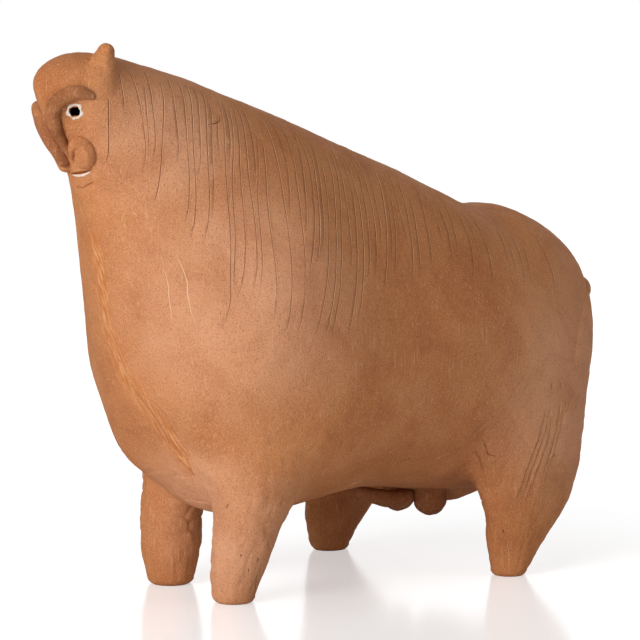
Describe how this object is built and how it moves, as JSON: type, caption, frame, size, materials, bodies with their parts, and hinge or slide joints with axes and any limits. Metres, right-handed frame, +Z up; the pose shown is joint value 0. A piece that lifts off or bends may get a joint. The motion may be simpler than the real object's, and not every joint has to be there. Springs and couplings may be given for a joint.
{
  "type": "bull sculpture",
  "caption": "Hollow hand-built terracotta bull standing on short stub legs, with applied brow coils, nostril curls, ears and tail.",
  "frame": {"origin": "middle of the bull's bounding box, on the floor that the soles stand on", "axes": "+Z up, -Y towards the bull's face, +X towards its left side"},
  "size_m": [0.2636, 0.5482, 0.446],
  "materials": {
    "terracotta": "matte fired clay, smoothed by hand and unglazed",
    "white_slip": "matte white slip, brushed on before firing"
  },
  "bodies": {
    "root": {"hindquarters_shell": "terracotta", "barrel_shell": "terracotta", "neck_shell": "terracotta", "head_shell": "terracotta", "leg_front_left": "terracotta", "leg_front_right": "terracotta", "leg_hind_left": "terracotta", "leg_hind_right": "terracotta", "brow_coil_left": "terracotta", "brow_coil_right": "terracotta", "nostril_curl_left": "terracotta", "nostril_curl_right": "terracotta", "eye_ring_left": "white_slip", "eye_ring_right": "white_slip", "ear_left": "terracotta", "ear_right": "terracotta", "lip_slip": "white_slip", "testicle_left": "terracotta", "testicle_right": "terracotta", "sheath": "terracotta", "tail_tuft": "terracotta", "tail": "terracotta"}
  },
  "joints": []
}
